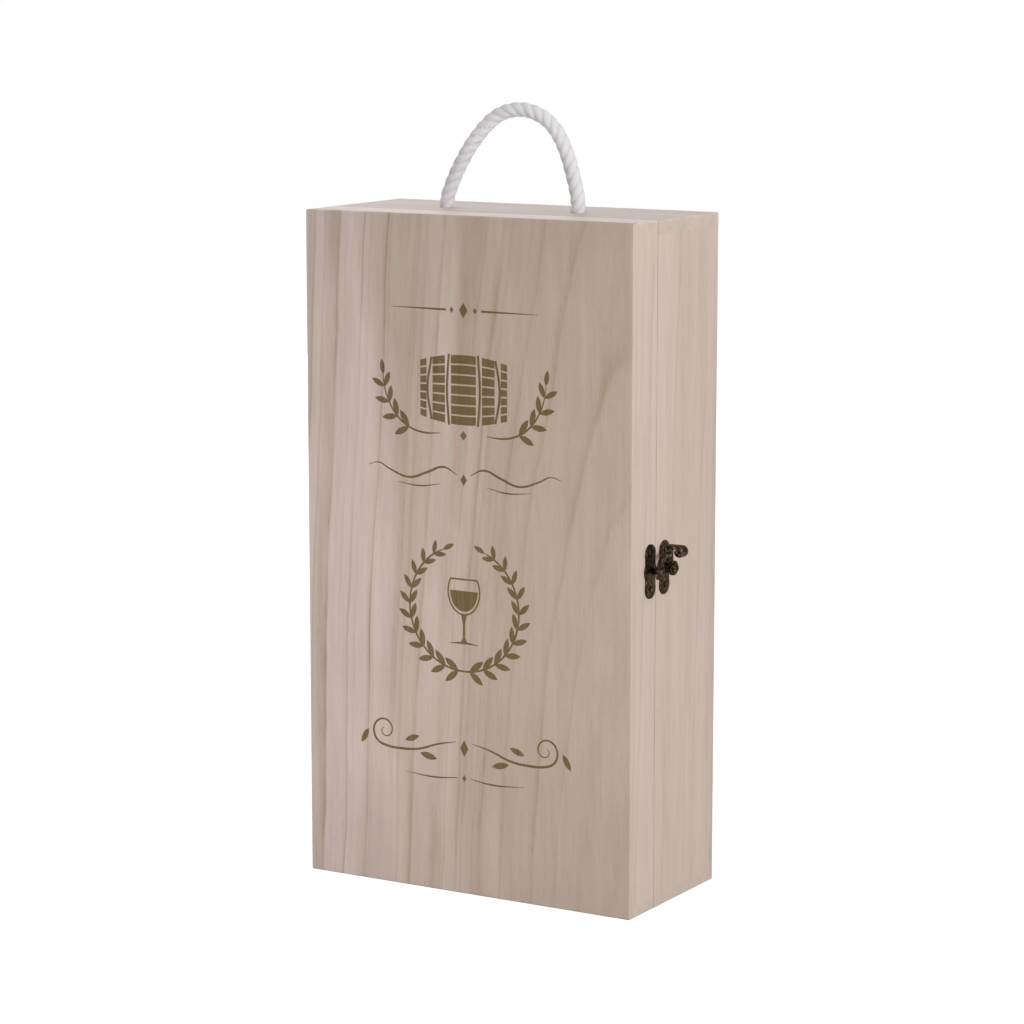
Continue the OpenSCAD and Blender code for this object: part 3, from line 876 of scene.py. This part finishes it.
def brush(points, widths):
    """A line of ink through points on the front, with its widths there."""
    deselect()
    bpy.ops.curve.primitive_bezier_curve_add(location=(0, 0, 0))
    line = bpy.context.object
    bends = line.data.splines[0].bezier_points
    bends.add(len(points) - 2)
    for bend, (x, z), width in zip(bends, points, widths):
        bend.co = (x * MM, 0, z * MM)
        bend.radius = width / 2
        bend.handle_left_type = bend.handle_right_type = "AUTO"
    line.data.bevel_depth = MM
    line.data.bevel_resolution = 1
    line.data.resolution_u = 6
    line.data.use_fill_caps = True
    bpy.ops.object.convert(target="MESH")
    line = bpy.context.object
    # pressed flat, half of it in the wood
    line.scale = (1, SKIN / (max(widths) / 2 * MM), 1)
    line.location = (0, INK_Y, 0)
    settle(line)
    return [line]


def brush_pair(points, widths):
    """The same line on the left and on the right of the middle."""
    return brush(points, widths) + brush([(-x, z) for x, z in points], widths)


def disc(vertices, radius):
    """A flat disc that lies on the floor."""
    deselect()
    bpy.ops.mesh.primitive_circle_add(
        vertices=vertices, radius=radius * MM, fill_type="NGON", location=(0, 0, 0)
    )
    return bpy.context.object


def stand(shape, x, z, turn=0.0, wide=1.0, high=1.0):
    """Stands a flat shape made on the floor against the front, turned anticlockwise."""
    shape.scale = (wide, high, 1)
    shape.rotation_euler = (math.radians(90), -math.radians(turn), 0)
    shape.location = (x * MM, INK_Y - SKIN, z * MM)
    settle(shape)
    return shape


def copy_of(shape):
    twin = shape.copy()
    twin.data = shape.data.copy()
    bpy.context.scene.collection.objects.link(twin)
    return twin


def is_flat(shape):
    """True for a shape that only stands on the ink's surface, with no thickness yet."""
    return all(abs(v.co.y - INK_Y + SKIN) < 0.001 * MM for v in shape.data.vertices)


def thicken(flat):
    """Gives a flat shape its thickness, back into the wood."""
    only(flat)
    skin = flat.modifiers.new("skin", "SOLIDIFY")
    skin.thickness = 2 * SKIN
    skin.offset = -1
    apply_all(flat)


def leaf_shape():
    """One leaf, 1 mm long and lying on the floor, pointed at both ends."""
    leaf = disc(12, 0.5)
    edit_all(leaf)
    bpy.ops.transform.resize(value=(0.86, 0.36, 1))
    for side in (-1, 1):
        mesh = bmesh.from_edit_mesh(leaf.data)
        tip = max(mesh.verts, key=lambda v: side * v.co.x)
        for vert in mesh.verts:
            vert.select_set(vert == tip)
        mesh.select_flush_mode()
        bpy.ops.transform.translate(value=(side * 0.1 * MM, 0, 0))
    bpy.ops.object.mode_set(mode="OBJECT")
    return leaf


def leaves_along(leaf, stem, size, spread, first=0):
    """Leaves on both sides of a stem after its first points, and one at its end."""
    made = []
    for i in range(first + 1, len(stem)):
        (x0, z0), (x1, z1) = stem[i - 1], stem[i]
        along = math.degrees(math.atan2(z1 - z0, x1 - x0))
        # leaves get smaller towards the end
        long = size * (1 - 0.3 * i / len(stem))
        turns = (0,) if i == len(stem) - 1 else (spread, -spread)
        for turn in turns:
            angle = math.radians(along + turn)
            reach = long * (0.52 if turn else 0.3)
            x, z = x1 + reach * math.cos(angle), z1 + reach * math.sin(angle)
            made.append(stand(copy_of(leaf), x, z, along + turn, long, long))
    return made


def lozenge(x, z, wide, high):
    return stand(disc(4, 0.5), x, z, 0, wide, high)


def keep_below(shape, level):
    """Cuts off what lies above a level of a shape on the floor."""
    edit_all(shape)
    bpy.ops.mesh.bisect(plane_co=(0, level * MM, 0), plane_no=(0, 1, 0), clear_outer=True)
    bpy.ops.object.mode_set(mode="OBJECT")


def goblet(x, z):
    """A stemmed glass, half full: the bowl's outline, the wine, the stem and the foot."""
    made = []
    for radius, level, is_outline in ((10.0, 7.0, True), (8.3, 0.5, False)):
        bowl = disc(40, radius)
        bowl.scale = (1, 1.25, 1)
        settle(bowl)
        # the bowl ends at its rim, and the wine at its level
        keep_below(bowl, level)
        if is_outline:
            edit_all(bowl)
            bpy.ops.mesh.inset(thickness=0.9 * MM)
            bpy.ops.mesh.delete(type="FACE")
            bpy.ops.object.mode_set(mode="OBJECT")
        made.append(stand(bowl, x, z + 8))
    made += brush([(x, z - 4.3), (x, z - 9), (x, z - 16), (x, z - 18.5)], [3.2, 1.3, 1.3, 3.6])
    made += brush([(x - 8.5, z - 19.6), (x, z - 18.9), (x + 8.5, z - 19.6)], [0.4, 1.6, 0.4])
    return made


def cask(x, z, half_long, half_high):
    """A cask on its side: seven staves with bare gaps, and four hoops in bare bands."""
    columns, staves = 14, 7
    bands = (1, 4, 9, 12)
    deselect()
    bpy.ops.mesh.primitive_grid_add(
        x_subdivisions=columns, y_subdivisions=staves, size=1, location=(0, 0, 0)
    )
    body = bpy.context.object
    body.scale = (2 * half_long * MM, 2 * half_high * MM, 1)
    settle(body)

    def belly(at):
        """How high the cask is at a place along it, of its middle's height."""
        return 1 - 0.24 * (at / half_long) ** 2

    bpy.ops.object.mode_set(mode="EDIT")
    for i in range(columns + 1):
        at = -half_long + 2 * half_long * i / columns
        choose(body, "VERT", lambda v: abs(v.co.x - at * MM) < 0.1 * MM)
        bpy.ops.transform.resize(value=(1, belly(at), 1), center_override=(at * MM, 0, 0))
    # the bands that the hoops lie in are bare
    pitch = 2 * half_long * MM / columns
    choose(body, "FACE", lambda f: int(f.calc_center_median().x / pitch + columns / 2) in bands)
    bpy.ops.mesh.delete(type="FACE")
    for i in range(staves):
        middle = (i - (staves - 1) / 2) * 2 * half_high * MM / staves
        half = half_high * MM / staves

        def in_stave(face):
            spot = face.calc_center_median()
            return abs(spot.y / belly(spot.x / MM) - middle) < half

        choose(body, "FACE", in_stave)
        # made narrower, the staves leave gaps
        bpy.ops.mesh.split()
        bpy.ops.transform.resize(value=(1, 0.84, 1), center_override=(0, middle, 0))
    bpy.ops.object.mode_set(mode="OBJECT")
    made = [stand(body, x, z)]
    for band in bands:
        at = (band + 0.5 - columns / 2) * pitch / MM
        high = half_high * belly(at) + 0.4
        bow = at * 0.06
        hoop = [(x + at - bow, z + high), (x + at + bow, z), (x + at - bow, z - high)]
        made += brush(hoop, [1.5, 1.5, 1.5])
    return made


def top_rule():
    """A lozenge between two dots and two tapering rules."""
    shapes = [lozenge(0, RULE_Z, 5, 8)]
    for side in (-1, 1):
        shapes.append(lozenge(side * 7, RULE_Z, 2.4, 3.4))
    shapes += brush_pair([(10.5, RULE_Z), (26, RULE_Z), (44, RULE_Z)], [1.3, 0.9, 0.25])
    return shapes


def cask_and_sprigs(leaf):
    """A cask over two sprigs that curve up beside it, and thin scrolls below."""
    shapes = cask(0, CASK_Z, 26, 18.5)
    for side in (-1, 1):
        sprig = [
            (side * 14, 243), (side * 24, 242.6), (side * 33, 245), (side * 40, 250),
            (side * 45, 257), (side * 48, 265), (side * 49, 273),
        ]
        shapes += brush(sprig, [0.4, 1.2, 1.2, 1.1, 1.0, 0.8, 0.4])
        shapes += leaves_along(leaf, sprig, 10.5, 42, first=1)
    shapes.append(lozenge(0, SPRIGS_Z, 4, 5))
    shapes += brush_pair(
        [(4, 222), (12, 225.4), (22, 222), (33, 218.6), (45, 222), (52, 225), (58, 223.4)],
        [0.4, 1.3, 1.5, 1.3, 1.0, 0.7, 0.3],
    )
    shapes += brush_pair([(14, 216.5), (26, 214.6), (40, 215.6)], [0.3, 1.0, 0.3])
    shapes.append(lozenge(0, 219.5, 4, 6))
    return shapes


def wreath_and_glass(leaf):
    """A glass in a wreath that is open at the top."""
    shapes = []
    steps = 12
    for side in (-1, 1):
        stem = []
        for k in range(steps + 1):
            turn = math.radians(-98 + 168 * k / steps)
            stem.append((side * WREATH_R * math.cos(turn), GLASS_Z + WREATH_R * math.sin(turn)))
        shapes += brush(stem, [0.7] + [1.2] * (steps - 1) + [0.4])
        shapes += leaves_along(leaf, stem, 10.0, 38)
    return shapes + goblet(0, GLASS_Z + 1)


def bottom_scrolls(leaf):
    """Two coils that run out to the middle, with three leaves each, and a rule below."""
    shapes = []
    steps = 15
    for side in (-1, 1):
        coil = []
        for k in range(steps):
            turn = math.radians(54 - 36 * k)
            r = 1.2 + 0.5 * k
            coil.append((side * (49 + r * math.cos(turn)), 82.5 + r * math.sin(turn)))
        coil += [(side * 38, 73.6), (side * 28, 74.6), (side * 16, 78.6), (side * 5, 81)]
        shapes += brush(coil, [0.4 + 0.08 * k for k in range(steps)] + [1.5, 1.4, 1.1, 0.4])
        for x, z, turn, long in ((22, 71.5, 12, 10), (32, 80.0, -20, 9), (61.5, 78.0, -60, 9)):
            shapes.append(stand(copy_of(leaf), side * x, z, side * turn, long, long))
    shapes.append(lozenge(0, 78, 5, 9))
    shapes += brush_pair([(4, BOTTOM_RULE_Z), (18, 60.6), (36, 61.6)], [0.5, 1.1, 0.25])
    shapes.append(lozenge(0, BOTTOM_RULE_Z, 2.6, 3.8))
    return shapes


def make_print():
    """A plain ornament for a wine box, in olive ink."""
    leaf = leaf_shape()
    shapes = top_rule() + cask_and_sprigs(leaf) + wreath_and_glass(leaf) + bottom_scrolls(leaf)
    bpy.data.objects.remove(leaf)
    for shape in shapes:
        if is_flat(shape):
            thicken(shape)
    ink = joined(shapes)
    # the whole design stands a little left of the middle, as printed
    ink.location = (-1 * MM, 0, 0)
    settle(ink)
    finish_piece(ink, "front_print", "lid", front_ink, "pale_paulownia")


make_print()


# ---- Fittings ----

# Each node's body, how far its edges are rounded, and in how many steps
ROUNDED = {
    "upper_hinge_lid_leaf": ("lid", 0.12 * MM, 2),
    "lower_hinge_lid_leaf": ("lid", 0.12 * MM, 2),
    "upper_hinge_base_leaf": ("base", 0.12 * MM, 2),
    "lower_hinge_base_leaf": ("base", 0.12 * MM, 2),
    "keeper_plate": ("lid", 0.3 * MM, 3),
    "pivot_plate": ("base", 0.3 * MM, 3),
    "latch_hook": ("latch_hook", 0.35 * MM, 3),
    "keeper_stud": ("lid", 0.1 * MM, 2),
    "pivot_rivet": ("base", 0.1 * MM, 2),
}


def softened(node, body, width, segments):
    """A copy of a small bronze part with its sharp edges rounded, as tumbling leaves them."""
    piece = copy_of(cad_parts[node])
    piece.parent = None
    edit_all(piece)
    bpy.ops.mesh.remove_doubles(threshold=0.002 * MM)
    bpy.ops.mesh.dissolve_limited(angle_limit=math.radians(2))
    bpy.ops.object.mode_set(mode="OBJECT")
    round_off = piece.modifiers.new("round", "BEVEL")
    round_off.width = width
    round_off.segments = segments
    round_off.limit_method = "ANGLE"
    round_off.angle_limit = math.radians(35)
    apply_all(piece)
    bpy.ops.object.shade_smooth_by_angle(angle=SMOOTH_BELOW)
    finish_piece(piece, node + "_finish", body, bronze, "antique_bronze", node)


def dress(node, material):
    """Gives a part of the model its own finish, with its shape as it is."""
    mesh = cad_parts[node].data
    mesh.materials.clear()
    mesh.materials.append(material)


def make_fittings():
    for node, (body, width, segments) in ROUNDED.items():
        softened(node, body, width, segments)
    for node in ("hinge_pins", "lid_hinge_nails", "base_hinge_nails", "keeper_nails", "pivot_nails"):
        dress(node, bronze)
    for node in ("lid_brads", "base_brads"):
        dress(node, steel)


make_fittings()


# ---- Studio ----

WHITE = (1, 1, 1, 1)
LAMPS_LOOK_AT = Vector((0, 0, 0.18))
# Each lamp's place and size in metres, and its power in watts
LAMPS = {
    "key": ((2.1, -0.85, 0.4), 1.5, 36),
    "fill": ((-1.0, -1.9, 0.3), 1.2, 1.0),
    "low": ((0.0, -0.45, 0.03), 0.3, 1.3),
    "top": ((0.1, 0.0, 2.2), 1.6, 4.3),
    "back": ((-1.6, 1.6, 0.7), 1.5, 17),
}


def is_seen(tree):
    """1 for what the camera sees, also in gloss and through glass, and 0 for the light that it gives."""
    rays = add(tree, "LightPath").outputs
    seen = add(
        tree, "Math", {0: rays["Is Camera Ray"], 1: rays["Is Glossy Ray"]}, operation="MAXIMUM"
    ).outputs[0]
    return add(
        tree, "Math", {0: seen, 1: rays["Is Transmission Ray"]}, operation="MAXIMUM"
    ).outputs[0]


def make_world():
    world = bpy.data.worlds.new("studio")
    bpy.context.scene.world = world
    world.use_nodes = True
    tree = world.node_tree
    tree.nodes.clear()
    glow = add(tree, "MapRange", {0: is_seen(tree), 3: 0.62, 4: 1.0}).outputs[0]
    shine = add(tree, "Background", {0: WHITE, 1: glow})
    add(tree, "OutputWorld", {0: shine.outputs[0]})


def make_floor():
    """White sweep paper, which looks white and still takes the object's shadow."""
    deselect()
    bpy.ops.mesh.primitive_plane_add(size=8, location=(0, 0, 0))
    floor = bpy.context.object
    floor.name = "studio_floor"
    material, tree = new_material("white_sweep_paper")
    seen = is_seen(tree)
    glow = add(tree, "Math", {0: seen, 1: 0.84}, operation="MULTIPLY").outputs[0]
    # throws little light back, so the lower part of the box isn't darker than the upper
    white = add(tree, "MapRange", {0: seen, 3: 0.12, 4: 0.3}).outputs[0]
    white = add(tree, "CombineColor", {0: white, 1: white, 2: white}).outputs[0]
    paper = add(tree, "BsdfDiffuse", {0: white})
    light = add(tree, "Emission", {0: WHITE, 1: glow})
    both = add(tree, "AddShader", {0: paper.outputs[0], 1: light.outputs[0]})
    add(tree, "OutputMaterial", {0: both.outputs[0]})
    floor.data.materials.append(material)


def make_lamps():
    for name, (place, size, power) in LAMPS.items():
        lamp = bpy.data.lights.new(name, "AREA")
        lamp.shape = "DISK"
        lamp.size = size
        lamp.energy = power
        holder = bpy.data.objects.new(name, lamp)
        bpy.context.scene.collection.objects.link(holder)
        holder.location = place
        holder.rotation_euler = turn_towards(LAMPS_LOOK_AT - Vector(place))


bpy.context.scene.view_settings.view_transform = "Standard"
make_world()
make_floor()
make_lamps()

deselect()
